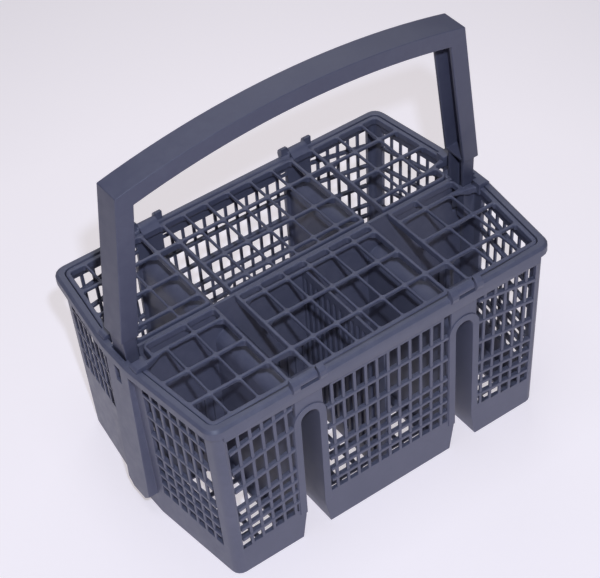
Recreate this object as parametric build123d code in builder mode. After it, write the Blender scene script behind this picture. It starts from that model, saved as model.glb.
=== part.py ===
from build123d import *
from math import cos, hypot, radians, sin, sqrt, tan
import os

# Dishwasher cutlery basket: one moulded lattice basket, a snap-in arched handle and two hinged grid lids.
# Millimetres, +Z up. X runs along the length, -Y is the front, the table is at Z = 0.

# Basket plan and draft
length = 247.0              # over the rim, at the handle sockets
width = 161.0               # over the front and rear rims
height = 124.0              # table to rim top
corner_cut = 8.5            # how far the rim corners stand back from the ends
socket_flat = 24.0          # straight part of each end, between the slanting halves
end_lip = 3.5               # rim overhang past the end walls
long_lip = 1.5              # rim overhang past the long walls
end_draft = 4.2             # how far the end walls lean in from rim to base
long_draft = 1.4            # the same for the long walls
rim_corner = 8.0
wall_corner = 6.0
corner_facets = 4           # flat facets of each plan corner
wall = 2.6
floor_thickness = 2.4

# Rim and the pocket the lids lie in
end_rim_height = 6.5
band_height = 10.3          # deeper smooth band along the front and rear
rim_ledge = 5.0             # flat top of the rim, outside the lids
rim_roll = 1.6
lid_thickness = 4.4
lid_gap = 0.4               # round the lid edge
rest_gap = 0.3              # under the lid edge, and from lid top to rim top
lid_seat = 1.8              # shelf under the lid edge
pocket_corner = 5.0

# Lattice of the walls: upright slots cut outside, level slots cut inside, windows where they cross
slot_pitch = 7.6
slot_width = 4.8
slot_margin = 9.0           # least plain wall between the slots and a rim corner
bar_height = 2.8
tall_rows = 3
short_rows = 4
top_bar_drop = 13.5         # from the rim top to the middle of the highest level bar
tall_pitch = 16.6
short_pitch = 9.1
plain_half = 40.0           # no windows above the highest bar inside this
fan_start = 55.0            # the level bars fall away from here towards the corners
fan_top = 0.2               # slope of the highest bar
fan_base = 0.1              # slope of the lowest bar
end_fan = 0.5               # end-wall bars fall at this share of the long-wall slope
end_plain = 10.0            # least plain wall at the far end of an end wall
end_margin = 6.1            # from the socket edge to the first slot of an end wall
band_clear = 0.4            # from the top of the slots to the band
cut_over = 0.5              # how far a cutter starts clear of its face

# Rack tunnels, front to back
tunnel_x = 53.0
tunnel_half = 6.0
tunnel_drop = 24.0          # from the rim top to the crown of a tunnel
tunnel_foot_half = 9.6
tunnel_flare_half = 6.6
tunnel_flare_height = 18.0
tunnel_border = 5.2
tunnel_wall = 2.2
arch_facets = 8

# Middle wall and floor
middle_wall = 2.0
middle_drop = 1.5           # top of the middle wall below the rim top
middle_slot_width = 3.2
middle_pitch = 5.6
middle_margin = 4.0         # from a tunnel or an end wall to the first slot
middle_slot_low = 14.0
middle_slot_high = 60.0
drain_bar = 3.0
drain_rows = 4
drain_centre = 2            # slots each side of the centre one, between the tunnels
drain_side = 2              # slots past each tunnel

# Handle and its sockets
handle_width = 17.6
handle_lean = 10.2          # how far each leg leans in from its step to the corner
handle_leg = 94.7           # height of a leg from its step to the corner
handle_rise = 13.3          # from the corners to the crown of the arc
handle_flange = 10.8
handle_wall = 2.2
handle_stand = 14.0         # the step above the rim top
tongue_width = 14.0
tongue_inset = 1.5
tongue_foot = 25.0          # foot of the tongue below the rim top
tongue_reach = 8.5
socket_inset = 1.0          # outer face of the pilaster, in from the rim
socket_half = 11.0
socket_skin = 2.4
socket_low = 11.5
socket_chamfer = 5.0
socket_fit = 0.2
guide_lip = 2.4
guide_slit = 9.0
guide_foot = 27.0           # foot of the guides below the rim top
latch_width = 5.0
latch_drop = 8.0            # top of the latch window below the rim top
latch_height = 12.0
latch_play = 0.4
latch_ramp = 3.5

# Lid hinges
hinge_gap = 12.6            # between the two ears of one hinge
hinge_inset = 3.0           # pin axis from the outer face of the rim
hinge_rise = 0.5            # pin axis above the rim top
pin_radius = 1.9
pin_fit = 0.06
hook_radius = 3.3
hook_play = 0.3             # between a hook and its ears
hook_room = 0.4             # round a hook, in the rim
hook_mouth_from = 205.0     # open part of the hook, degrees round the pin
hook_mouth_to = 300.0
ear_radius = 5.0
pin_facets = 12             # flats of the hooks and ears
ear_width = 4.5

# Lid grid
lid_bar = 2.4               # ribs along X and the bars beside the tunnel slots
lid_cross = 1.8             # the other bars along Y
lid_frame = 3.2
lid_part = 1.5              # from the centre line to the inner edge of a lid
outer_rib = 54.5            # ribs along X, from the centre line
side_ribs = [33.0, 12.0]
centre_ribs = [30.0, 9.0]
centre_pitch = 15.5         # bars along Y between the tunnels
centre_bays = 3
tunnel_slot = 15.0          # bar-free slot over each tunnel, between bar middles
side_bar_insets = [44.0, 26.0]  # bars along Y outside the tunnel slots, in from the rim
leg_notch = 16.0            # how far the notch for a leg reaches in from the rim
leg_notch_y = 13.0
notch_corner = 2.5
tab_length = 6.5
tab_inset = 2.5             # end of a lift tab, in from the rim
tab_height = 2.6
tab_root = 3.5

os.makedirs("parts", exist_ok=True)

half_length = length / 2
corner_length = length - 2 * corner_cut
half_width = width / 2
flat = socket_flat / 2
end_slope = (half_length - corner_length / 2) / (half_width - flat)
top_apex = half_length - end_lip
top_side = half_width - long_lip
foot_apex = top_apex - end_draft
foot_side = top_side - long_draft
pocket_apex = half_length - rim_ledge
pocket_side = half_width - rim_ledge
lip_low = height - end_rim_height
band_low = height - band_height
top_bar = height - top_bar_drop
lid_top = height - rest_gap
lid_low = lid_top - lid_thickness
pocket_low = lid_low - rest_gap
pin_y = half_width - hinge_inset
pin_z = height + hinge_rise
tunnel_top = height - tunnel_drop
spring = tunnel_top - tunnel_half
rows = tall_rows + short_rows
slot_top = band_low - band_clear
slot_columns = int((corner_length / 2 - slot_margin - slot_width / 2) / slot_pitch + 0.5)
end_columns = int((half_width - flat - end_margin - slot_width - end_plain) / slot_pitch) + 1
slot_end = slot_pitch * (slot_columns - 0.5) + slot_width / 2
row_stops = [-slot_end, -fan_start, fan_start, slot_end]
half_bar = bar_height / 2
slot_depth = wall / 2
drain_depth = floor_thickness / 2
end_reach = end_margin + slot_pitch * (end_columns - 1) + slot_width
arch_guard = tunnel_half + tunnel_border - slot_width / 2
socket_face = half_length - socket_inset
guide_low = height - guide_foot
latch_high = height - latch_drop
latch_low = latch_high - latch_height
skin_x = socket_face - socket_skin
tongue_x = skin_x - socket_fit
guide_x = tongue_x - tongue_reach - socket_fit
step_x = tongue_x + tongue_inset
tongue_foot_z = height - tongue_foot
handle_step_z = height + handle_stand
handle_corner_x = step_x - handle_lean
handle_corner_z = handle_step_z + handle_leg
handle_top_z = handle_corner_z + handle_rise
far = length + width
middles = [slot_pitch * (i + 0.5) for i in range(slot_columns)]
drain_pitch = 2 * slot_pitch
drain_xs = [drain_pitch * i for i in range(-drain_centre, drain_centre + 1)]
drain_xs += [end * (tunnel_x + drain_pitch * (i + 1.5)) for end in (-1, 1) for i in range(drain_side)]
hump_reach = tunnel_foot_half + tunnel_wall + middle_margin
middle_count = int((tunnel_x - hump_reach) / middle_pitch)
middle_side = int((foot_apex - wall - middle_margin - tunnel_x - hump_reach) / middle_pitch) + 1
middle_xs = [middle_pitch * i for i in range(-middle_count, middle_count + 1)]
middle_xs += [end * (tunnel_x + hump_reach + middle_pitch * i) for end in (-1, 1) for i in range(middle_side)]


def plan(apex, side):
    """Corner points of a plan with slanting ends, from its end reach and its half width."""
    corner = apex - end_slope * (side - flat)
    right = [(corner, -side), (apex, -flat), (apex, flat), (corner, side)]
    return right + [(-x, -y) for x, y in right]


def faceted(apex, side, radius):
    """The same plan with its four outer corners rounded in flat facets."""
    points = []
    corners = plan(apex, side)
    for i, (x, y) in enumerate(corners):
        if abs(y) < side:
            points.append((x, y))
            continue
        before = Vector(*corners[i - 1]) - Vector(x, y)
        after = Vector(*corners[(i + 1) % len(corners)]) - Vector(x, y)
        half = radians(before.get_angle(after)) / 2
        start = Vector(x, y) + before.normalized() * (radius / tan(half))
        middle = Vector(x, y) + (before.normalized() + after.normalized()).normalized() * (radius / sin(half))
        spoke = start - middle
        turn = 180 - before.get_angle(after)
        for step in range(corner_facets + 1):
            point = middle + spoke.rotate(Axis.Z, turn * step / corner_facets)
            points.append((point.X, point.Y))
    return points


def share(z):
    """How far up the drafted walls a height is, from 0 at the table to 1 at the rim top."""
    return z / height


def row_level(row):
    """Middle height of a level bar at the centre of a long wall. Row 0 is the highest."""
    tall = min(row, tall_rows)
    return top_bar - tall_pitch * tall - short_pitch * (row - tall)


def row_fall(row):
    """Slope with which a level bar falls away towards the corners."""
    low = row_level(rows)
    return fan_base + (fan_top - fan_base) * (row_level(row) - low) / (top_bar - low)


def long_bar(row, x):
    """Middle height of a level bar of a long wall at x."""
    return row_level(row) - row_fall(row) * max(0.0, abs(x) - fan_start)


def end_bar(row, u):
    """Middle height of a level bar of an end wall, u along the wall from the socket."""
    return long_bar(row, slot_end) + end_fan * row_fall(row) * (end_reach - u)


def leaning(x, z):
    """Point of a long wall, drawn in towards the base as the wall tapers."""
    return x * (1 - end_draft / (corner_length / 2) * (1 - share(z))), z


def long_column(x):
    """Outline of one upright slot of a long wall."""
    high = slot_top if abs(x) > plain_half else row_level(0) - half_bar
    low = long_bar(rows, x) + half_bar
    a = x - slot_width / 2
    b = x + slot_width / 2
    return [leaning(a, low), leaning(b, low), leaning(b, high), leaning(a, high)]


def long_row(row):
    """Outline of one level slot of a long wall, between two bars."""
    under = [leaning(x, long_bar(row, x) + half_bar) for x in row_stops]
    over = [leaning(x, long_bar(row - 1, x) - half_bar) for x in reversed(row_stops)]
    return under + over


def top_row(sign):
    """Outline of the level slot above the highest bar, on one half of a long wall."""
    under = [leaning(sign * x, long_bar(0, x) + half_bar) for x in (plain_half, fan_start, slot_end)]
    return under + [leaning(sign * x, slot_top) for x in (slot_end, plain_half)]


def end_rows(side):
    """Lowest level bar of an end wall: full height in front, upper rows only behind."""
    return rows if side < 0 else tall_rows


def end_column(sign, u, last):
    """Outline of one upright slot of an end wall, starting at u, on the side of its plane given by sign."""
    v = u + slot_width
    low = [(sign * t, end_bar(last, t) + half_bar) for t in (u, v)]
    return low + [(sign * v, slot_top), (sign * u, slot_top)]


def end_row(sign, row):
    """Outline of one level slot of an end wall, on the side of its plane given by sign."""
    under = [(sign * u, end_bar(row, u) + half_bar) for u in (end_margin, end_reach)]
    if row == 0:
        return under + [(sign * end_reach, slot_top), (sign * end_margin, slot_top)]
    return under + [(sign * u, end_bar(row - 1, u) - half_bar) for u in (end_reach, end_margin)]


def tunnel_outline(axis, grow):
    """Inverted-U outline of a tunnel, widened all round by grow."""
    right = [(tunnel_foot_half + grow, 0), (tunnel_flare_half + grow, tunnel_flare_height)]
    left = [(-x, z) for x, z in reversed(right)]
    turns = [radians(180 * i / arch_facets) for i in range(arch_facets + 1)]
    arch = [((tunnel_half + grow) * cos(t), spring + (tunnel_half + grow) * sin(t)) for t in turns]
    return [(axis + x, z) for x, z in right + arch + left]


def long_plane(side):
    """Outer face of the front (-1) or rear (1) wall."""
    return Plane((0, side * foot_side, 0), (-side, 0, 0), (0, side * height, -long_draft))


def end_plane(end, side):
    """Outer face of one half of an end wall, from the socket edge at table level."""
    turn = end * side
    along = (-turn * end * end_slope, turn * side, 0)
    out = (end * height, side * end_slope * height, -end_draft)
    return Plane((end * foot_apex, side * flat, 0), along, out)


with BuildPart() as basket:
    # Handle pilasters, hollow from below
    for end in (-1, 1):
        with BuildSketch(Plane((end * (foot_apex - wall), 0, 0), (0, 1, 0), (1, 0, 0))):
            tip = socket_half - socket_chamfer
            Polygon(
                (-tip, socket_low), (tip, socket_low), (socket_half, socket_low + socket_chamfer),
                (socket_half, lip_low), (-socket_half, lip_low), (-socket_half, socket_low + socket_chamfer),
                align=None,
            )
        extrude(amount=end * (socket_face - foot_apex + wall))
        with BuildSketch(Plane((end * (foot_apex - wall), 0, 0), (0, 1, 0), (1, 0, 0))):
            bore = socket_half - socket_skin
            Polygon((-bore, 0), (bore, 0), (bore, guide_low), (-bore, guide_low), align=None)
        extrude(amount=end * (skin_x - foot_apex + wall), mode=Mode.SUBTRACT)

    # Drafted shell
    with BuildSketch(Plane.XY):
        Polygon(*faceted(foot_apex, foot_side, wall_corner), align=None)
    with BuildSketch(Plane.XY.offset(height)):
        Polygon(*faceted(top_apex, top_side, wall_corner), align=None)
    loft(ruled=True)

    # Rim all round and the deeper band along the long sides, rolled over at the top
    with BuildSketch(Plane.XY.offset(lip_low)):
        Polygon(*faceted(half_length, half_width, rim_corner), align=None)
    extrude(amount=end_rim_height)
    with BuildSketch(Plane.XY.offset(band_low)):
        Rectangle(corner_length - 2 * rim_corner, width)
    extrude(amount=band_height)
    chamfer(basket.faces().sort_by(Axis.Z)[-1].edges(), rim_roll)

    # Inside of the shell, mouth and the pocket for the lids
    for level in (floor_thickness, lip_low):
        with BuildSketch(Plane.XY.offset(level)):
            apex = foot_apex + end_draft * share(level) - wall
            side = foot_side + long_draft * share(level) - wall
            Polygon(*faceted(apex, side, wall_corner - wall), align=None)
    loft(ruled=True, mode=Mode.SUBTRACT)
    with BuildSketch(Plane.XY.offset(lip_low)):
        seat = [v - lid_seat for v in (pocket_apex, pocket_side, pocket_corner)]
        Polygon(*faceted(*seat), align=None)
    extrude(amount=end_rim_height, mode=Mode.SUBTRACT)
    with BuildSketch(Plane.XY.offset(pocket_low)):
        Polygon(*faceted(pocket_apex, pocket_side, pocket_corner), align=None)
    extrude(amount=height - pocket_low, mode=Mode.SUBTRACT)

    # Middle wall, socket guides and the humps of the tunnels
    with BuildSketch(Plane.XY):
        Rectangle(2 * foot_apex - wall, middle_wall)
    extrude(amount=height - middle_drop)
    for end in (-1, 1):
        with BuildSketch(Plane.XY.offset(guide_low)):
            with Locations((end * (guide_x - guide_lip + skin_x) / 2, 0)):
                Rectangle(skin_x - guide_x + guide_lip, 2 * socket_half)
        extrude(amount=pocket_low - guide_low)
    for axis in (-tunnel_x, tunnel_x):
        with BuildSketch(Plane.XZ):
            Polygon(*tunnel_outline(axis, tunnel_wall), align=None)
        extrude(amount=foot_side - wall / 2, both=True)
    for axis in (-tunnel_x, tunnel_x):
        with BuildSketch(Plane.XZ):
            Polygon(*tunnel_outline(axis, 0), align=None)
        extrude(amount=width, both=True, mode=Mode.SUBTRACT)

    # Channels for the tongues of the handle, the slit between the guides and the latch windows
    for end in (-1, 1):
        with BuildSketch(Plane.XY.offset(guide_low)):
            with Locations((end * (guide_x + skin_x) / 2, 0)):
                Rectangle(skin_x - guide_x, tongue_width + 2 * socket_fit)
            with Locations((end * guide_x, 0)):
                Rectangle(2 * guide_lip + 2 * cut_over, guide_slit)
        extrude(amount=height, mode=Mode.SUBTRACT)
        with BuildSketch(Plane((end * guide_x, 0, 0), (0, 1, 0), (1, 0, 0))):
            with Locations((0, (latch_low + latch_high) / 2)):
                Rectangle(latch_width, latch_high - latch_low)
        extrude(amount=end * length, mode=Mode.SUBTRACT)

    # Hinges: a gap in the rim, an ear on each side of it and a pin across
    for side in (-1, 1):
        for x in (-tunnel_x, tunnel_x):
            with BuildSketch(Plane.YZ.offset(x)):
                with Locations((side * pin_y, pin_z)):
                    Rectangle(2 * hinge_inset + 2 * cut_over, 2 * (hook_radius + hook_room))
            extrude(amount=hinge_gap / 2, both=True, mode=Mode.SUBTRACT)
            for start in (x - hinge_gap / 2 - ear_width, x + hinge_gap / 2):
                with BuildSketch(Plane.YZ.offset(start)):
                    with Locations((side * pin_y, pin_z)):
                        RegularPolygon(ear_radius, pin_facets)
                    with Locations((side * (pin_y - ear_radius), pin_z)):
                        Rectangle(2 * ear_radius, 3 * ear_radius, mode=Mode.SUBTRACT)
                extrude(amount=ear_width)
            with BuildSketch(Plane.YZ.offset(x)):
                with Locations((side * pin_y, pin_z)):
                    Circle(pin_radius)
            extrude(amount=hinge_gap / 2, both=True)

    # Floor grid: slots across from below, slots along from above
    drain_long = (foot_side - wall - middle_wall) / drain_rows
    drain_side_x = tunnel_x + (1 + drain_side / 2) * drain_pitch
    with BuildSketch(Plane.XY):
        for x in drain_xs:
            with Locations((x, 0)):
                Rectangle(drain_pitch - drain_bar, 2 * (foot_side - wall - middle_wall))
    extrude(amount=drain_depth, mode=Mode.SUBTRACT)
    with BuildSketch(Plane.XY.offset(floor_thickness)):
        for side in (-1, 1):
            for i in range(drain_rows):
                y = side * (middle_wall + drain_long * (i + 0.5))
                for x in (0, -drain_side_x, drain_side_x):
                    slots = drain_side if x else 2 * drain_centre + 1
                    span = slots * drain_pitch - drain_bar
                    with Locations((x, y)):
                        Rectangle(span, drain_long - drain_bar)
    extrude(amount=-drain_depth, mode=Mode.SUBTRACT)

    # Upright slots low in the middle wall
    with BuildSketch(Plane.XZ):
        for x in middle_xs:
            with Locations((x, (middle_slot_low + middle_slot_high) / 2)):
                Rectangle(middle_slot_width, middle_slot_high - middle_slot_low)
    extrude(amount=middle_wall, both=True, mode=Mode.SUBTRACT)

    # Lattice: upright slots cut from outside
    end_firsts = [end_margin + slot_pitch * i for i in range(end_columns)]
    for side in (-1, 1):
        with BuildSketch(long_plane(side).offset(cut_over)):
            for x in middles:
                Polygon(*long_column(x), align=None)
                Polygon(*long_column(-x), align=None)
            for axis in (-tunnel_x, tunnel_x):
                Polygon(*tunnel_outline(axis, tunnel_border), align=None, mode=Mode.SUBTRACT)
                with Locations((axis, slot_top / 2)):
                    Rectangle(2 * arch_guard, slot_top, mode=Mode.SUBTRACT)
        for end in (-1, 1):
            with BuildSketch(end_plane(end, side).offset(cut_over)):
                for u in end_firsts:
                    Polygon(*end_column(end * side, u, end_rows(side)), align=None)
    extrude(amount=-cut_over - slot_depth, mode=Mode.SUBTRACT, clean=False)

    # Lattice: level slots cut from inside
    for side in (-1, 1):
        with BuildSketch(long_plane(side).offset(-wall - cut_over)):
            for row in range(1, rows + 1):
                Polygon(*long_row(row), align=None)
            Polygon(*top_row(-1), align=None)
            Polygon(*top_row(1), align=None)
            for axis in (-tunnel_x, tunnel_x):
                Polygon(*tunnel_outline(axis, tunnel_border), align=None, mode=Mode.SUBTRACT)
                with Locations((axis, slot_top / 2)):
                    Rectangle(2 * arch_guard, slot_top, mode=Mode.SUBTRACT)
        for end in (-1, 1):
            with BuildSketch(end_plane(end, side).offset(-wall - cut_over)):
                for row in range(end_rows(side) + 1):
                    Polygon(*end_row(end * side, row), align=None)
    extrude(amount=cut_over + slot_depth, mode=Mode.SUBTRACT, clean=False)

basket.part.label = "basket"
export_step(basket.part, "parts/basket.step")


# Handle: the top arc springs from the leg corners
arc_radius = (handle_corner_x ** 2 + handle_rise ** 2) / (2 * handle_rise)
arc_centre = handle_top_z - arc_radius
leg_length = hypot(handle_lean, handle_leg)
leg_x = -handle_lean / leg_length
leg_z = handle_leg / leg_length


def leg_foot(inset, rise):
    """Point of a leg outline set in by inset, at a height above the step."""
    return step_x - inset / leg_z + rise * leg_x / leg_z, handle_step_z + rise


def leg_corner(inset):
    """Where a leg outline set in by inset meets the top arc set in by the same."""
    x, z = leg_foot(inset, 0)
    drop = z - arc_centre
    along = x * leg_x + drop * leg_z
    run = sqrt(along ** 2 - x ** 2 - drop ** 2 + (arc_radius - inset) ** 2) - along
    return x + run * leg_x, z + run * leg_z


def arch(outer, inner, rise):
    """Points round an arch between two insets, starting at the right foot and going over the top."""
    right_out = [leg_foot(outer, rise), leg_corner(outer)]
    right_in = [leg_corner(inner), leg_foot(inner, rise)]
    left_out = [(-x, z) for x, z in reversed(right_out)]
    left_in = [(-x, z) for x, z in reversed(right_in)]
    return right_out, left_out, left_in, right_in


with BuildPart() as handle:
    # Solid arch, then its channel opened from inside and below
    with BuildSketch(Plane.XZ):
        right_out, left_out, left_in, right_in = arch(0, handle_flange, 0)
        with BuildLine():
            Polyline(*right_out)
            ThreePointArc(right_out[1], (0, handle_top_z), left_out[0])
            Polyline(*left_out, *left_in)
            ThreePointArc(left_in[1], (0, handle_top_z - handle_flange), right_in[0])
            Polyline(*right_in, right_out[0])
        make_face()
    extrude(amount=handle_width / 2, both=True)
    with BuildSketch(Plane.XZ):
        opened = handle_flange + handle_wall
        right_out, left_out, left_in, right_in = arch(handle_wall, opened, handle_wall)
        with BuildLine():
            Polyline(*right_out)
            ThreePointArc(right_out[1], (0, handle_top_z - handle_wall), left_out[0])
            Polyline(*left_out, *left_in)
            ThreePointArc(left_in[1], (0, handle_top_z - opened), right_in[0])
            Polyline(*right_in, right_out[0])
        make_face()
    extrude(amount=handle_width / 2 - handle_wall, both=True, mode=Mode.SUBTRACT)

    # Tongues that slide into the sockets, with their latches
    for end in (-1, 1):
        with BuildSketch(Plane.XY.offset(tongue_foot_z)):
            with Locations((end * (tongue_x - tongue_reach / 2), 0)):
                Rectangle(tongue_reach, tongue_width)
            with Locations((end * (tongue_x - handle_wall - tongue_reach / 2), 0)):
                Rectangle(tongue_reach, tongue_width - 2 * handle_wall, mode=Mode.SUBTRACT)
        extrude(amount=handle_step_z + handle_wall / 2 - tongue_foot_z)
        with BuildSketch(Plane.XZ):
            low = latch_low + latch_play
            high = latch_high - latch_play
            nose = socket_face - latch_play
            Polygon(
                (end * (tongue_x - handle_wall / 2), low), (end * tongue_x, low),
                (end * nose, low + latch_ramp),
                (end * nose, high), (end * (tongue_x - handle_wall / 2), high), align=None,
            )
        extrude(amount=latch_width / 2 - latch_play, both=True)

handle.part.label = "handle"
export_step(handle.part, "parts/handle.step")


lid_apex = pocket_apex - lid_gap
leg_notch_x = half_length - leg_notch
tab_reach = half_length - tab_inset
lid_side = pocket_side - lid_gap
slot_in = tunnel_x - tunnel_slot / 2
slot_out = tunnel_x + tunnel_slot / 2
half_lid_bar = lid_bar / 2
side_bars = [half_length - inset for inset in side_bar_insets]


def lid_end(y, inset):
    """Outer end of the lid at y, set in by inset."""
    return lid_apex - end_slope * (abs(y) - flat) - inset


def cell(x_from, x_to, y_from, y_to):
    """Corner points of one lid opening; None as x_to runs to the slanting end frame."""
    if x_to is None:
        return [
            (x_from, y_from), (lid_end(y_from, lid_frame), y_from),
            (lid_end(y_to, lid_frame), y_to), (x_from, y_to),
        ]
    return [(x_from, y_from), (x_to, y_from), (x_to, y_to), (x_from, y_to)]


def bays(lines, bar, first, last):
    """Openings between bars of one width with these middles, from an edge at first to an edge at last."""
    edges = [first] + [v + s * bar / 2 for v in lines for s in (-1, 1)] + [last]
    return list(zip(edges[0::2], edges[1::2]))


def lid_cells():
    """Every opening of the lid right of the centre line."""
    outer = -lid_side + lid_frame
    inner = -lid_part - lid_bar
    centre_x = [centre_pitch * i for i in range(1, centre_bays)]
    centre_y = bays([-outer_rib] + [-y for y in centre_ribs], lid_bar, outer, inner)
    side_y = bays([-outer_rib] + [-y for y in side_ribs], lid_bar, outer, inner)
    centre = bays(centre_x, lid_cross, lid_cross / 2, slot_in - half_lid_bar)
    cells = [cell(a, b, c, d) for a, b in centre for c, d in centre_y]
    cells.append(cell(slot_in + half_lid_bar, slot_out - half_lid_bar, outer, -outer_rib - half_lid_bar))
    cells.append(cell(slot_in + half_lid_bar, slot_out - half_lid_bar, -outer_rib + half_lid_bar, 0))
    columns = bays(side_bars, lid_cross, slot_out + half_lid_bar, None)
    cells += [cell(a, b, c, d) for a, b in columns for c, d in side_y[:-1]]
    near, beyond = columns[0], (columns[1][0], leg_notch_x - lid_bar)
    return cells + [cell(a, b, *side_y[-1]) for a, b in (near, beyond)]


with BuildPart() as front_lid:
    # Grid plate with room for the legs of the handle
    with BuildSketch(Plane.XY.offset(lid_low)) as plate:
        Polygon(*faceted(lid_apex, lid_side, pocket_corner - lid_gap), align=None)
        with Locations((0, far / 2 - lid_part)):
            Rectangle(far, far, mode=Mode.SUBTRACT)
        for end in (-1, 1):
            with Locations((end * (leg_notch_x + far / 2), far / 2 - leg_notch_y)):
                Rectangle(far, far, mode=Mode.SUBTRACT)
        chamfer(plate.vertices().filter_by(lambda v: v.Y > 1 - leg_notch_y), notch_corner)
        for points in lid_cells():
            Polygon(*points, align=None, mode=Mode.SUBTRACT)
            Polygon(*[(-x, y) for x, y in points], align=None, mode=Mode.SUBTRACT)
    extrude(amount=lid_thickness)

    # Lift tabs that lie on the rim beside the legs of the handle
    for end in (-1, 1):
        with BuildSketch(Plane.XZ.offset(leg_notch_y)):
            root = lid_end(leg_notch_y + tab_length, lid_gap)
            Polygon(
                (end * (root - tab_root), lid_low), (end * root, lid_low), (end * root, height + rest_gap),
                (end * tab_reach, height + rest_gap), (end * tab_reach, height + rest_gap + tab_height / 2),
                (end * (tab_reach - tab_height / 2), height + rest_gap + tab_height),
                (end * (root - tab_root), height + rest_gap + tab_height), align=None,
            )
        extrude(amount=tab_length)

    # Hooks that clip round the hinge pins
    for x in (-tunnel_x, tunnel_x):
        with BuildSketch(Plane.YZ.offset(x)):
            with Locations((-pin_y, pin_z)):
                RegularPolygon(hook_radius, pin_facets)
            Polygon(
                (-pin_y, pin_z + hook_radius), (-pin_y, pin_z), (-lid_side, lid_top),
                (-lid_side + lid_frame, lid_top), align=None,
            )
            with Locations((-pin_y, pin_z)):
                RegularPolygon(pin_radius + pin_fit, pin_facets, major_radius=False, mode=Mode.SUBTRACT)
            reach = 3 * hook_radius
            mouth_a = radians(hook_mouth_from)
            mouth_b = radians(hook_mouth_to)
            Polygon(
                (-pin_y, pin_z), (-pin_y + reach * cos(mouth_a), pin_z + reach * sin(mouth_a)),
                (-pin_y + reach * cos(mouth_b), pin_z + reach * sin(mouth_b)), align=None, mode=Mode.SUBTRACT,
            )
        extrude(amount=hinge_gap / 2 - hook_play, both=True)

front_lid.part.label = "front_lid"
export_step(front_lid.part, "parts/front_lid.step")


# The rear lid is the same moulding turned end for end
with BuildPart() as rear_lid:
    add(front_lid.part.rotate(Axis.Z, 180))

rear_lid.part.label = "rear_lid"
export_step(rear_lid.part, "parts/rear_lid.step")
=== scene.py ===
# %% [markdown]
# # A dishwasher cutlery basket, dressed in Blender
#
# The basket, its arched handle and its two grid lids come from a CAD model that is already the right
# size. This lesson gives those four mouldings what a moulding tool gives them: soft edges, a fine matt
# grain and the colour of their polypropylene. It adds what the CAD model leaves out, such as a divider in
# the front half, and it sets up the camera, a glowing table top and the lights.
#
# The first cell loads the CAD model as a fixed frame.

# %% Load the frame
import math

import bmesh
import bpy
from mathutils import Matrix, Vector


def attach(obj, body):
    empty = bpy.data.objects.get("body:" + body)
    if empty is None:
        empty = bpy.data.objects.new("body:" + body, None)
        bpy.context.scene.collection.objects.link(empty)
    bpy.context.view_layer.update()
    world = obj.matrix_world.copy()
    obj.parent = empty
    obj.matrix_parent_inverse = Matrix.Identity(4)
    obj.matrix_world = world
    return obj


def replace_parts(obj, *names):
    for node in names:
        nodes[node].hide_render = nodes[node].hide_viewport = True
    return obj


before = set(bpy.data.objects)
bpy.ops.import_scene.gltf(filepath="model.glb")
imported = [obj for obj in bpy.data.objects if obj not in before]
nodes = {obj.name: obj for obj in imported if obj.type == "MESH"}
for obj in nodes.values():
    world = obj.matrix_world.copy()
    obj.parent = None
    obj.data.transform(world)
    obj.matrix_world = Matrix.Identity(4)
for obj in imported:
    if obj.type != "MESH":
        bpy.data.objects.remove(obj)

MM = 0.001
scene = bpy.context.scene
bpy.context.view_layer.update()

# %% [markdown]
# ## The camera
#
# The picture was taken from the front left, well above the rim, with a long lens and the camera tipped a
# little. A camera in Blender looks along its own -Z axis with +Y up, so its matrix can be built straight
# from three directions: right, up and backwards. That is easier to get exactly right than three turn
# angles.

# %% Camera
VIEW_AZIMUTH = math.radians(-32.66)
VIEW_HEIGHT = math.radians(43.5)
VIEW_ROLL = math.radians(-4.65)
VIEW_DISTANCE = 1162.5 * MM
VIEW_TARGET = Vector((54.5, 88.5, 0.3)) * MM
LENS_MM, SENSOR_MM = 107.6, 36.0
CLIP_NEAR, CLIP_FAR = 0.05, 50.0

backward = Vector((
    math.sin(VIEW_AZIMUTH) * math.cos(VIEW_HEIGHT),
    -math.cos(VIEW_AZIMUTH) * math.cos(VIEW_HEIGHT),
    math.sin(VIEW_HEIGHT),
))
level_right = (-backward).cross(Vector((0, 0, 1))).normalized()
level_up = level_right.cross(-backward)
right = math.cos(VIEW_ROLL) * level_right + math.sin(VIEW_ROLL) * level_up
up = math.cos(VIEW_ROLL) * level_up - math.sin(VIEW_ROLL) * level_right

camera_data = bpy.data.cameras.new("camera")
camera_data.lens = LENS_MM
camera_data.sensor_width = SENSOR_MM
camera_data.clip_start = CLIP_NEAR
camera_data.clip_end = CLIP_FAR
camera = bpy.data.objects.new("camera", camera_data)
scene.collection.objects.link(camera)
turn = Matrix((right, up, backward)).transposed().to_4x4()
camera.matrix_world = Matrix.Translation(VIEW_TARGET + backward * VIEW_DISTANCE) @ turn
scene.camera = camera
scene.view_settings.view_transform = "Standard"
print("camera at, mm:", [round(v / MM) for v in camera.location])

# %% [markdown]
# ## Helpers for materials
#
# Colours are written as the hex values a picture editor shows. Shaders work in linear light, so one
# function converts them. A second small function adds a node, sets its values and links its inputs.

# %% Material helpers
def linear(hex_colour):
    """An sRGB hex colour as linear RGBA."""
    channels = [int(hex_colour[i:i + 2], 16) / 255 for i in (1, 3, 5)]
    return [c / 12.92 if c <= 0.04045 else ((c + 0.055) / 1.055) ** 2.4 for c in channels] + [1.0]


def add_node(tree, kind, settings=None, values=None, links=None):
    """Adds a node, sets its properties and input values, and links outputs of other nodes to its inputs."""
    node = tree.nodes.new(kind)
    for name, value in (settings or {}).items():
        setattr(node, name, value)
    for name, value in (values or {}).items():
        node.inputs[name].default_value = value
    for name, output in (links or {}).items():
        tree.links.new(output, node.inputs[name])
    return node


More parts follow.
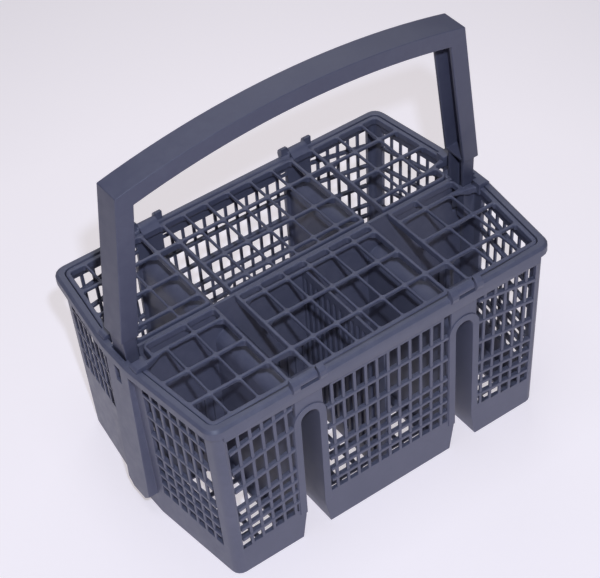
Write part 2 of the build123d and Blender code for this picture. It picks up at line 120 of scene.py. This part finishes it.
# %% [markdown]
# ## Moulded polypropylene
#
# The whole basket is injection-moulded polypropylene, coloured slate blue-grey right through. The tool
# was spark-eroded, so the skin carries a fine matt grain: highlights are broad and soft, never
# mirror-like. Hot water leaves a faint milky film, so the colour drifts a little from place to place.
#
# One function makes the material in slightly different shades, because each moulding is a batch of its
# own. The real grain is about 0.1 mm across, too fine to show at this distance, so it is drawn at 0.5 mm.

# %% Polypropylene
GRAIN_MM, GRAIN_DEPTH_MM = 0.5, 0.05
CLOUD_MM = 35.0
STREAK_MM = 6.0
ROUGH_DRIFT = 0.07


def polypropylene(name, colour, film, rough):
    """Matt moulded polypropylene: base colour, the colour of its milky film, and how rough the grain is."""
    material = bpy.data.materials.new(name)
    material.use_nodes = True
    tree = material.node_tree
    tree.nodes.clear()
    place = add_node(tree, "ShaderNodeTexCoord").outputs["Object"]
    cloud = add_node(tree, "ShaderNodeTexNoise", values={
        "Scale": 1 / (CLOUD_MM * MM), "Detail": 3.0, "Roughness": 0.55}, links={"Vector": place})
    streak = add_node(tree, "ShaderNodeTexNoise", values={
        "Scale": 1 / (STREAK_MM * MM), "Detail": 2.0, "Roughness": 0.6}, links={"Vector": place})
    grain = add_node(tree, "ShaderNodeTexNoise", values={
        "Scale": 1 / (GRAIN_MM * MM), "Detail": 2.0, "Roughness": 0.5}, links={"Vector": place})
    blend = add_node(tree, "ShaderNodeMath", {"operation": "MULTIPLY"}, links={
        0: cloud.outputs["Fac"], 1: streak.outputs["Fac"]})
    drift = add_node(tree, "ShaderNodeMapRange", values={
        "From Min": 0.15, "From Max": 0.42, "To Min": 0.0, "To Max": 1.0}, links={"Value": blend.outputs[0]})
    tint = add_node(tree, "ShaderNodeMix", {"data_type": "RGBA"}, values={
        "A": linear(colour), "B": linear(film)}, links={"Factor": drift.outputs[0]})
    gloss = add_node(tree, "ShaderNodeMapRange", values={
        "From Min": 0.3, "From Max": 0.7, "To Min": rough - ROUGH_DRIFT, "To Max": rough + ROUGH_DRIFT},
        links={"Value": streak.outputs["Fac"]})
    skin = add_node(tree, "ShaderNodeBump", values={
        "Strength": 0.18, "Distance": GRAIN_DEPTH_MM * MM}, links={"Height": grain.outputs["Fac"]})
    shader = add_node(tree, "ShaderNodeBsdfPrincipled", values={"IOR": 1.49, "Metallic": 0.0}, links={
        "Base Color": tint.outputs["Result"], "Roughness": gloss.outputs[0], "Normal": skin.outputs[0]})
    add_node(tree, "ShaderNodeOutputMaterial", links={"Surface": shader.outputs[0]})
    return material


basket_plastic = polypropylene("polypropylene_basket", "#63657A", "#6D6E82", 0.46)
handle_plastic = polypropylene("polypropylene_handle", "#5A5B71", "#636478", 0.48)
lid_plastic = polypropylene("polypropylene_lid", "#606279", "#6A6C81", 0.44)
print("materials:", [m.name for m in (basket_plastic, handle_plastic, lid_plastic)])

# %% [markdown]
# ## From CAD triangles to a clean moulding
#
# The CAD nodes are loose triangles with knife-sharp edges. A real moulding never has those: every edge of
# the tool is radiused, and those small radii are what catch the light. The CAD mesh itself must stay as
# it is, so each moulding gets a copy. The copy is merged, and its flat triangles are dissolved into whole
# faces, because a bevel runs cleanly only along real edges. A wall full of windows would then be one face
# with a very long outline, so such faces are split again until all of them are convex.
#
# The sharp edges are bevelled next. Blender can clamp a bevel where it would run into a neighbour, but it
# then shrinks the whole bevel to what the shortest edge allows. So edges that end at a short neighbour
# are left out instead, and the rest get the radius that was asked for.

# %% Helpers for the mouldings
FLAT = math.radians(0.3)
SHARP = math.radians(28.0)
SMOOTH = math.radians(50.0)
ROOM = 2.2
MERGE_MM = 0.002
FACE_WEIGHT = 100


def moulding_from(node_name):
    """A bmesh copy of a CAD node, merged and with its flat faces made whole and convex."""
    shape = bmesh.new()
    shape.from_mesh(nodes[node_name].data)
    bmesh.ops.remove_doubles(shape, verts=shape.verts, dist=MERGE_MM * MM)
    bmesh.ops.dissolve_limit(shape, angle_limit=FLAT, verts=shape.verts, edges=shape.edges)
    bmesh.ops.connect_verts_concave(shape, faces=shape.faces)
    return shape


def sharp_edges(shape):
    """Edges between two faces that turn by more than the sharp angle."""
    return [e for e in shape.edges if len(e.link_faces) == 2 and e.calc_face_angle(0.0) > SHARP]


def soften(shape, edges, radius_mm, segments):
    """Rounds edges with a bevel of this radius, apart from those that end at a short neighbour."""
    least = ROOM * radius_mm * MM
    roomy = [e for e in edges if all(n.calc_length() > least for v in e.verts for n in v.link_edges)]
    bmesh.ops.bevel(
        shape, geom=roomy, affect="EDGES", offset_type="OFFSET", offset=radius_mm * MM, segments=segments,
        profile=0.5, material=-1, clamp_overlap=False, loop_slide=False)
    print(len(roomy), "of", len(edges), "edges rounded to", radius_mm, "mm")


def finish_piece(shape, name, body, material):
    """Turns a bmesh into a smooth-shaded object that moves with a body."""
    bmesh.ops.triangulate(shape, faces=[f for f in shape.faces if len(f.verts) > 4])
    for face in shape.faces:
        face.smooth = True
    mesh = bpy.data.meshes.new(name)
    shape.to_mesh(mesh)
    shape.free()
    mesh.set_sharp_from_angle(angle=SMOOTH)
    mesh.materials.append(material)
    piece = bpy.data.objects.new(name, mesh)
    scene.collection.objects.link(piece)
    normals = piece.modifiers.new("even_shading", "WEIGHTED_NORMAL")
    normals.keep_sharp = True
    normals.weight = FACE_WEIGHT
    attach(piece, body)
    print(name, len(mesh.polygons), "faces")
    return piece


def finish_moulding(shape, name, node_name, body, material):
    """The same for a moulding that stands for its CAD node."""
    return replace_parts(finish_piece(shape, name, body, material), node_name)


# %% [markdown]
# ## The basket
#
# The thousands of lattice edges, the arches, the posts and the rim all get the small radius that lets a
# moulding leave its tool. One strip stays as it is: just under the band of the long walls the face is
# narrower than two bevels. The rolled rim is a chamfer in the CAD model. It needs no extra faces, because
# the shading runs smoothly over any edge that turns by less than 50 degrees.
#
# The real bars between the windows are slimmer than the CAD model has them. So the side faces of the
# windows are first pushed a little way into the bars. Every vertex of such a face moves once along each
# direction that its faces look in, which keeps the corners of the windows square.

# %% Basket
RIM_TOP = 124.0
STRIP_LOW, STRIP_HIGH = 112.8, 114.2
TUNNEL_X, ARCH_REACH = 53.0, 10.5
LATTICE_LOW, LATTICE_HIGH, LATTICE_X = 18.0, 112.0, 107.0
LONG_WALL_Y, END_WALL_X, POST_Y = 73.5, 105.0, 14.0
LEVEL_LOOK, SIDE_LOOK, SAME_LOOK = 0.9, 0.95, 0.9
WINDOW_EASE = 0.4
EDGE_RADIUS, EDGE_SEGMENTS = 0.3, 2


def under_band(edge):
    """True for edges of the narrow strip between the windows and the band."""
    return all(STRIP_LOW < v.co.z / MM < STRIP_HIGH for v in edge.verts)


def window_side(face):
    """True for the faces inside the windows of the four outer walls."""
    x, y, z = (abs(v) / MM for v in face.calc_center_median())
    level = abs(face.normal.z) > LEVEL_LOOK
    if not LATTICE_LOW < z < LATTICE_HIGH:
        return False
    if y > LONG_WALL_Y:
        beside_arch = x < LATTICE_X and abs(x - TUNNEL_X) > ARCH_REACH
        return beside_arch and (level or abs(face.normal.x) > SIDE_LOOK)
    return x > END_WALL_X and y > POST_Y and (level or abs(face.normal.y) > SIDE_LOOK)


def widen_windows(shape, ease_mm):
    """Pushes the side faces of the windows back into the bars."""
    looks = {}
    for face in filter(window_side, shape.faces):
        for vert in face.verts:
            known = looks.setdefault(vert, [])
            if all(face.normal.dot(look) < SAME_LOOK for look in known):
                known.append(face.normal.copy())
    for vert, known in looks.items():
        vert.co -= sum(known, Vector()) * ease_mm * MM
    print(len(looks), "corners of the windows moved")


shape = moulding_from("basket")
widen_windows(shape, WINDOW_EASE)
soften(shape, [e for e in sharp_edges(shape) if not under_band(e)], EDGE_RADIUS, EDGE_SEGMENTS)
basket = finish_moulding(shape, "lattice_basket", "basket", "basket", basket_plastic)

# %% [markdown]
# ## The level bars of the lattice
#
# On the real basket the level bars come right out to the face of the walls, where they run across the
# uprights. The bars fall away towards the corners like a fan. So the first cell has functions for the
# height of any bar at any place, and for turning a place on a leaning wall into a point.

# %% Places on the walls
WALL_TOP_X, WALL_TOP_Y = 120.0, 79.0
END_DRAFT, LONG_DRAFT = 4.2, 1.4
CORNER_X, FLAT_Y, END_SLOPE = 115.0, 12.0, 8.5 / 68.5
TOP_BAR, TALL_PITCH, SHORT_PITCH = 110.5, 16.6, 9.1
TALL_ROWS, ROWS = 3, 7
FAN_START, FAN_TOP, FAN_BASE = 55.0, 0.2, 0.1


def bar_level(row):
    """Height of a level bar in the middle of a long wall, in mm. Row 0 is the highest."""
    return TOP_BAR - TALL_PITCH * min(row, TALL_ROWS) - SHORT_PITCH * max(0, row - TALL_ROWS)


def bar_height(row, x):
    """Height of a level bar of a long wall at x, and how far it falls for each mm towards the corner."""
    level, base = bar_level(row), bar_level(ROWS)
    fall = FAN_BASE + (FAN_TOP - FAN_BASE) * (level - base) / (TOP_BAR - base)
    return level - fall * max(0.0, abs(x) - FAN_START), fall


def long_wall_point(side, x, z, depth):
    """A point of the front (-1) or rear (1) wall, in metres, at a depth under its face."""
    lean = 1 - z / RIM_TOP
    return Vector((
        x * (1 - END_DRAFT / CORNER_X * lean),
        side * (WALL_TOP_Y - LONG_DRAFT * lean - depth), z)) * MM


def end_wall_point(end, side, u, z, depth):
    """A point of one half of an end wall, u along it from the handle socket."""
    lean = 1 - z / RIM_TOP
    run = u / math.hypot(1, END_SLOPE)
    return Vector((
        end * (WALL_TOP_X - END_DRAFT * lean - END_SLOPE * run - depth),
        side * (FLAT_Y + run), z)) * MM


print("level bars at, mm:", [round(bar_level(row), 1) for row in range(ROWS)])

# %% [markdown]
# Drawing each bar as one long rod keeps the mesh small: a cube is stretched along the bar, its ends
# follow the fan of the lattice, and its long edges are bevelled. The bars of the rear half are slimmer,
# because the bright table eats into thin bars that stand in front of it.

# %% Level bars
SLOT_END, END_MARGIN, END_REACH, END_FAN = 105.0, 6.1, 56.5, 0.5
TUNNEL_CLEAR = 11.0
BAR_HEIGHTS = {-1: 2.4, 1: 1.9}
BAR_DEPTH, BAR_PROUD = 1.4, 0.3
BAR_ROUNDING, BAR_SEGMENTS = 0.55, 3


def add_bar(shape, corner_of):
    """Adds one rod: each corner of a cube goes to the place that corner_of gives for (end, upper, outer)."""
    corners = bmesh.ops.create_cube(shape, size=2.0)["verts"]
    for corner in corners:
        end, upper, outer = corner.co
        corner.co = corner_of(end, upper, outer)
    edges = {e for v in corners for e in v.link_edges}
    bmesh.ops.recalc_face_normals(shape, faces=list({f for v in corners for f in v.link_faces}))
    long_edges = sorted(edges, key=lambda e: e.calc_length())[-4:]
    bmesh.ops.bevel(
        shape, geom=long_edges, affect="EDGES", offset_type="OFFSET", offset=BAR_ROUNDING * MM,
        segments=BAR_SEGMENTS, profile=0.5, material=-1)


def depth_of(outer):
    """How deep under the wall face the outer or inner side of a bar lies."""
    return -BAR_PROUD if outer > 0 else BAR_DEPTH


bars = bmesh.new()
inner_end, outer_start = TUNNEL_X - TUNNEL_CLEAR, TUNNEL_X + TUNNEL_CLEAR
outer_spans = [(-SLOT_END, -outer_start), (outer_start, SLOT_END)]
all_spans = [outer_spans[0], (-inner_end, inner_end), outer_spans[1]]
for side in (-1, 1):
    for row in range(ROWS):
        # Between the tunnels the highest row has no bar.
        for x_from, x_to in all_spans if row else outer_spans:
            def corner_of(end, upper, outer):
                x = x_to if end > 0 else x_from
                z = bar_height(row, x)[0] + upper * BAR_HEIGHTS[side] / 2
                return long_wall_point(side, x, z, depth_of(outer))
            add_bar(bars, corner_of)
    for end_wall in (-1, 1):
        # The rear half of an end wall has windows only in its upper part.
        for row in range(ROWS if side < 0 else TALL_ROWS):
            def corner_of(end, upper, outer):
                u = END_REACH if end > 0 else END_MARGIN
                at_corner, fall = bar_height(row, SLOT_END)
                z = at_corner + END_FAN * fall * (END_REACH - u) + upper * BAR_HEIGHTS[side] / 2
                return end_wall_point(end_wall, side, u, z, depth_of(outer))
            add_bar(bars, corner_of)
level_bars = finish_piece(bars, "level_bars", "basket", basket_plastic)

# %% [markdown]
# ## The handle
#
# The handle is a U-channel bent into an arch. Its edges have a radius of half a millimetre, which shows
# as the thin bright line along the top. The catch at the foot of each leg lies a little way back in its
# window, so the window shows dark.

# %% Handle
CATCH_X, CATCH_TOP, CATCH_BACK = 119.5, 118.0, 1.6
HANDLE_RADIUS, HANDLE_SEGMENTS = 0.5, 3

shape = moulding_from("handle")
for vert in shape.verts:
    if abs(vert.co.x) / MM > CATCH_X and vert.co.z / MM < CATCH_TOP:
        vert.co.x -= math.copysign(CATCH_BACK * MM, vert.co.x)
soften(shape, sharp_edges(shape), HANDLE_RADIUS, HANDLE_SEGMENTS)
handle = finish_moulding(shape, "arched_handle", "handle", "basket", handle_plastic)

# %% [markdown]
# ## Plates with holes
#
# The lids and the divider are flat plates full of holes, which is just what Blender's 2-D curves are good
# at: every closed curve inside the outline becomes a hole, and the curve's own bevel rounds all the edges
# at once. The curve is drawn flat, given half the thickness of the plate each way, and turned into a
# mesh.
#
# Blender finds out which curves are holes by counting crossings along a level line. Corners that share a
# level confuse that count, so the drawing is turned a little while it is filled, and turned back
# afterwards.

# %% Plate from outlines
CORNER_SHARE = 0.4
ARC_HANDLE = 0.45
FILL_TURN = math.radians(11)
CURVE_STEPS, EDGE_STEPS = 3, 2
PLATE_MERGE_MM = 0.005


def add_outline(curve, corners, radius):
    """Adds a closed spline along these corners, with each corner rounded."""
    spline = curve.splines.new("BEZIER")
    spline.use_cyclic_u = True
    spline.bezier_points.add(2 * len(corners) - 1)
    for i, corner in enumerate(corners):
        arms = [corners[i - 1] - corner, corners[(i + 1) % len(corners)] - corner]
        reach = min([radius] + [CORNER_SHARE * arm.length for arm in arms])
        for j, arm in enumerate(arms):
            point = spline.bezier_points[2 * i + j]
            point.handle_left_type = point.handle_right_type = "FREE"
            point.co = (corner + arm.normalized() * reach).to_3d()
            towards_corner = (corner + arm.normalized() * reach * ARC_HANDLE).to_3d()
            point.handle_left = towards_corner if j else point.co
            point.handle_right = point.co if j else towards_corner


def plate_from(outlines, thickness_mm, corner_mm, edge_mm, slim_mm=0.0):
    """A flat plate round z = 0 with rounded corners and edges. Its bars can be slimmed on each side."""
    curve = bpy.data.curves.new("plate", "CURVE")
    curve.dimensions = "2D"
    curve.fill_mode = "BOTH"
    curve.resolution_u = CURVE_STEPS
    curve.bevel_resolution = EDGE_STEPS
    curve.bevel_depth = edge_mm * MM
    curve.offset = -(edge_mm + slim_mm) * MM
    curve.extrude = (thickness_mm / 2 - edge_mm) * MM
    turn = Matrix.Rotation(FILL_TURN, 2)
    for corners in outlines:
        add_outline(curve, [turn @ corner for corner in corners], corner_mm * MM)
    drawing = bpy.data.objects.new("plate", curve)
    scene.collection.objects.link(drawing)
    mesh = bpy.data.meshes.new_from_object(drawing.evaluated_get(bpy.context.evaluated_depsgraph_get()))
    plate = bmesh.new()
    plate.from_mesh(mesh)
    bmesh.ops.rotate(plate, verts=plate.verts, cent=(0, 0, 0), matrix=Matrix.Rotation(-FILL_TURN, 3, "Z"))
    bmesh.ops.remove_doubles(plate, verts=plate.verts, dist=PLATE_MERGE_MM * MM)
    bmesh.ops.recalc_face_normals(plate, faces=plate.faces)
    bpy.data.meshes.remove(mesh)
    bpy.data.objects.remove(drawing)
    bpy.data.curves.remove(curve)
    print("plate with", len(outlines) - 1, "holes")
    return plate


# %% [markdown]
# ## The slotted divider
#
# A plate with upright slots stands across the middle of the front half and parts it in two. It is drawn
# as a plate with holes, with Y and Z of the basket as the two directions of the drawing, and then stood
# up.

# %% Divider
DIVIDER_LOW, DIVIDER_HIGH, DIVIDER_THICKNESS = 2.0, 116.0, 1.8
DIVIDER_FRONT_LOW, DIVIDER_FRONT_HIGH, DIVIDER_BACK = -75.3, -76.6, -0.5
SLOT_LOW, SLOT_HIGH, SLOT_WIDTH = 14.0, 110.0, 2.8
SLOT_FIRST, SLOT_PITCH, SLOTS = -4.6, 5.4, 13
DIVIDER_CORNER, DIVIDER_EDGE = 0.6, 0.4

outlines = [[Vector(corner) * MM for corner in (
    (DIVIDER_FRONT_LOW, DIVIDER_LOW), (DIVIDER_BACK, DIVIDER_LOW),
    (DIVIDER_BACK, DIVIDER_HIGH), (DIVIDER_FRONT_HIGH, DIVIDER_HIGH))]]
for i in range(SLOTS):
    y = SLOT_FIRST - SLOT_PITCH * i
    outlines.append([Vector((y + across * SLOT_WIDTH / 2, z)) * MM for across, z in (
        (-1, SLOT_LOW), (1, SLOT_LOW), (1, SLOT_HIGH), (-1, SLOT_HIGH))])
shape = plate_from(outlines, DIVIDER_THICKNESS, DIVIDER_CORNER, DIVIDER_EDGE)
stand_up = Matrix(((0, 0, 1), (1, 0, 0), (0, 1, 0)))
bmesh.ops.rotate(shape, verts=shape.verts, cent=(0, 0, 0), matrix=stand_up)
divider = finish_piece(shape, "slotted_divider", "basket", basket_plastic)

# %% [markdown]
# ## The webs behind the slots
#
# The divider and the lower part of the middle wall are striped, but no light comes through them. Thin
# webs close their slots just under the far face, so that they become deep grooves. They are stretched
# cubes: three for the stretches of the middle wall beside and between the tunnels, and one for the
# divider.

# %% Webs
WEB_NEAR, WEB_FAR = 0.5, 0.8
WALL_WEB_LOW, WALL_WEB_HIGH = 12.0, 62.0
WEB_SPANS = ((-106.0, -65.0), (-41.0, 41.0), (65.0, 106.0))
DIVIDER_WEB_LOW, DIVIDER_WEB_HIGH = 13.0, 111.0


def add_web(shape, low, high):
    """Adds a box between two opposite corners, in mm."""
    low, high = Vector(low) * MM, Vector(high) * MM
    bmesh.ops.create_cube(shape, size=1.0, matrix=Matrix.LocRotScale((low + high) / 2, None, high - low))


shape = bmesh.new()
for x_from, x_to in WEB_SPANS:
    add_web(shape, (x_from, WEB_NEAR, WALL_WEB_LOW), (x_to, WEB_FAR, WALL_WEB_HIGH))
add_web(shape, (WEB_NEAR, DIVIDER_FRONT_LOW, DIVIDER_WEB_LOW), (WEB_FAR, DIVIDER_BACK, DIVIDER_WEB_HIGH))
web = finish_piece(shape, "slot_webs", "basket", basket_plastic)

# %% [markdown]
# ## The borders of the tunnels
#
# A flat border runs round the mouth of each tunnel and stands a little proud of the lattice. It is drawn
# as a plate whose outline goes up one side, round the crown, down the other side and back along the
# mouth. Every point of the finished plate is then laid onto the leaning wall.

# %% Tunnel borders
MOUTH_HALF, SPRING, BORDER_FOOT, CROWN_STEPS = 6.1, 94.0, 20.0, 12
BORDER_WIDTH, BORDER_PROUD, BORDER_SUNK = 4.6, 0.6, 0.6
BORDER_CORNER, BORDER_EDGE = 0.5, 0.3


def arch_line(radius):
    """Points along an arch of this radius, from its right foot to its left one."""
    turns = [math.pi * i / CROWN_STEPS for i in range(CROWN_STEPS + 1)]
    crown = [Vector((radius * math.cos(t), SPRING + radius * math.sin(t))) for t in turns]
    return [Vector((radius, BORDER_FOOT))] + crown + [Vector((-radius, BORDER_FOOT))]


def join_into(shape, other):
    """Adds a copy of another bmesh to a shape, and frees the other."""
    mesh = bpy.data.meshes.new("joined")
    other.to_mesh(mesh)
    other.free()
    shape.from_mesh(mesh)
    bpy.data.meshes.remove(mesh)


borders = bmesh.new()
outline = [point * MM for point in arch_line(MOUTH_HALF + BORDER_WIDTH) + arch_line(MOUTH_HALF)[::-1]]
for side in (-1, 1):
    for tunnel in (-TUNNEL_X, TUNNEL_X):
        border = plate_from([outline], BORDER_PROUD + BORDER_SUNK, BORDER_CORNER, BORDER_EDGE)
        for vert in border.verts:
            x, z, out = vert.co / MM
            y = WALL_TOP_Y - LONG_DRAFT * (1 - z / RIM_TOP) + out + (BORDER_PROUD - BORDER_SUNK) / 2
            vert.co = Vector((tunnel + x, side * y, z)) * MM
        bmesh.ops.recalc_face_normals(border, faces=border.faces)
        join_into(borders, border)
tunnel_borders = finish_piece(borders, "tunnel_borders", "basket", basket_plastic)

# %% [markdown]
# ## The plate of a lid
#
# The outline and the cells of a lid are read from the underside of the CAD lid, so nothing has to be
# measured twice. Its bars are round on top, so that cutlery slides off them into the cells. Where bars
# cross, the round corners of four cells leave a small knob that catches the light. Both lids are the same
# moulding, so the plate of the rear lid is drawn, and half a turn about the middle of the basket makes it
# the front one. The frame has the full depth of the lid, and inside it the undersides of the bars are
# raised to half of that. Corners of cells that come too close to the notch for the handle are moved away
# from it.

# %% Lid plate
LID_LOW, LID_TOP = 119.3, 123.7
BAR_ROUND, BAR_SLIM, CELL_CORNER = 0.65, 0.2, 1.3
GRID_THICKNESS, FRAME_WIDTH = 2.2, 4.2
THIN_BORDER, NOTCH_BORDER = 1.0, 3.6
TOUCH_MM = 0.01


def flat_outlines(node_name, level):
    """The closed outlines of a node's flat faces at a level, each a list of corner points in metres."""
    shape = moulding_from(node_name)
    others = [f for f in shape.faces if any(abs(v.co.z / MM - level) > TOUCH_MM for v in f.verts)]
    bmesh.ops.delete(shape, geom=others, context="FACES")
    left = [e for e in shape.edges if e.is_boundary]
    outlines = []
    while left:
        start, vert = left.pop().verts
        corners = [start.co.xy]
        while vert is not start:
            corners.append(vert.co.xy)
            edge = next(e for e in vert.link_edges if e in left)
            left.remove(edge)
            vert = edge.other_vert(vert)
        outlines.append(corners)
    shape.free()
    return outlines


def from_edge(point, corners):
    """The shortest way from a closed outline to a point."""
    ways = []
    for start, end in zip(corners, corners[1:] + corners[:1]):
        side = end - start
        share = min(1.0, max(0.0, (point - start).dot(side) / side.length_squared))
        ways.append(point - start - side * share)
    return min(ways, key=lambda way: way.length)


def lid_plate(side):
    """The plate of the front (-1) or rear (1) lid."""
    outlines = flat_outlines("rear_lid", LID_LOW)
    frame_line = max(outlines, key=lambda corners: max(corner.x for corner in corners))
    for corner in (corner for corners in outlines if corners is not frame_line for corner in corners):
        way = from_edge(corner, frame_line)
        if way.length < THIN_BORDER * MM:
            corner += way.normalized() * (NOTCH_BORDER * MM - way.length)
    plate = plate_from(outlines, LID_TOP - LID_LOW, CELL_CORNER, BAR_ROUND, BAR_SLIM)
    under = [
        v for v in plate.verts
        if v.co.z < 0 and from_edge(v.co.xy, frame_line).length > FRAME_WIDTH * MM]
    bmesh.ops.translate(plate, verts=under, vec=(0, 0, (LID_TOP - LID_LOW - GRID_THICKNESS) * MM))
    bmesh.ops.translate(plate, verts=plate.verts, vec=(0, 0, (LID_LOW + LID_TOP) / 2 * MM))
    if side < 0:
        bmesh.ops.rotate(plate, verts=plate.verts, cent=(0, 0, 0), matrix=Matrix.Rotation(math.pi, 3, "Z"))
    return plate


# %% [markdown]
# ## Hooks and lift tabs of the lids
#
# Each lid clips onto two pins with open hooks, and has two small tabs to lift it by. They stand above the
# plate or past its hinge edge, so they are what is left of the CAD copy when the faces of the plate are
# deleted.

# %% Lids
LID_SIDE = 75.1


def lid_fittings(node_name, side):
    """Hooks and tabs of a CAD lid whose hinge edge lies on the front (-1) or rear (1) side."""
    shape = moulding_from(node_name)
    plate = [f for f in shape.faces if all(
        v.co.z / MM < LID_TOP + TOUCH_MM and side * v.co.y / MM < LID_SIDE + TOUCH_MM for v in f.verts)]
    bmesh.ops.delete(shape, geom=plate, context="FACES")
    soften(shape, sharp_edges(shape), EDGE_RADIUS, EDGE_SEGMENTS)
    return shape


for half, side in (("front", -1), ("rear", 1)):
    shape = lid_plate(side)
    join_into(shape, lid_fittings(half + "_lid", side))
    lid = finish_moulding(shape, half + "_grid_lid", half + "_lid", half + "_lid", lid_plastic)

# %% [markdown]
# ## The table top
#
# The basket stands on a pale sheet whose emission is painted light: it glows with no lamp under it,
# stands in for a brightly lit table and lights the basket from below, so the floor grid and the lattice
# show as dark lines against white. The painted glow fades with the distance from the middle. Both
# distances are in metres.

# %% Floor
FLOOR_SIZE = 8.0
PAINTED_GLOW, GLOW_NEAR, GLOW_FAR = 0.57, 0.3, 1.6

shape = bmesh.new()
bmesh.ops.create_grid(shape, x_segments=1, y_segments=1, size=FLOOR_SIZE / 2)
mesh = bpy.data.meshes.new("floor_with_painted_glow")
shape.to_mesh(mesh)
shape.free()
floor = bpy.data.objects.new("floor_with_painted_glow", mesh)
scene.collection.objects.link(floor)
glow_floor_material = bpy.data.materials.new("floor_painted_glow")
glow_floor_material.use_nodes = True
tree = glow_floor_material.node_tree
tree.nodes.clear()
place = add_node(tree, "ShaderNodeTexCoord").outputs["Object"]
reach = add_node(tree, "ShaderNodeVectorMath", {"operation": "LENGTH"}, links={0: place})
# Painted light: the emission is strongest near the middle and fades to nothing further out, a painted pool of
# light that also lights the basket.
painted_glow = add_node(tree, "ShaderNodeMapRange", values={
    "From Min": GLOW_NEAR, "From Max": GLOW_FAR, "To Min": PAINTED_GLOW, "To Max": 0.0},
    links={"Value": reach.outputs["Value"]})
sheet = add_node(tree, "ShaderNodeBsdfPrincipled", values={
    "Base Color": linear("#CFCCD6"), "Roughness": 0.9, "Specular IOR Level": 0.1,
    "Emission Color": linear("#F8F1F4")}, links={"Emission Strength": painted_glow.outputs[0]})
add_node(tree, "ShaderNodeOutputMaterial", links={"Surface": sheet.outputs[0]})
mesh.materials.append(glow_floor_material)
print("opal sheet,", FLOOR_SIZE, "m wide")

# %% [markdown]
# ## The light
#
# A flash just above the camera lights everything that faces it and throws the shadow of the handle on the
# sheet behind. It is small and bluish, so its shadows are crisp and the table looks warmer in them. A
# soft box overhead draws the tops of the lids and the handle, and a weak light from behind keeps the rear
# from going black. The sky is almost dark, and so are the compartments.

# %% Light
SKY_STRENGTH = 0.03

world = bpy.data.worlds.new("dim_studio")
scene.world = world
world.use_nodes = True
sky = world.node_tree.nodes["Background"]
sky.inputs["Color"].default_value = linear("#F1F0FA")
sky.inputs["Strength"].default_value = SKY_STRENGTH


def soft_light(name, place_mm, aim_mm, size_mm, watts, colour):
    """A lamp of this width and height at a place, turned towards another place."""
    data = bpy.data.lights.new(name, "AREA")
    data.shape = "RECTANGLE"
    data.size, data.size_y = (v * MM for v in size_mm)
    data.energy = watts
    data.color = linear(colour)[:3]
    lamp = bpy.data.objects.new(name, data)
    scene.collection.objects.link(lamp)
    lamp.location = Vector(place_mm) * MM
    lamp.rotation_euler = ((Vector(aim_mm) - Vector(place_mm)) * MM).to_track_quat("-Z", "Y").to_euler()
    lamp.visible_camera = False
    print(name, watts, "W at", place_mm, "mm")


soft_light(
    "flash", place_mm=(-355, -650, 930), aim_mm=(40, 60, 60), size_mm=(30, 30), watts=5.7, colour="#DEE9FF")
soft_light(
    "soft_box", place_mm=(-150, 0, 1500), aim_mm=(0, 0, 60), size_mm=(800, 800), watts=4.7, colour="#FFFFFF")
soft_light(
    "back_fill", place_mm=(450, 750, 800), aim_mm=(0, 0, 60), size_mm=(700, 700), watts=1.6, colour="#FFFFFF")
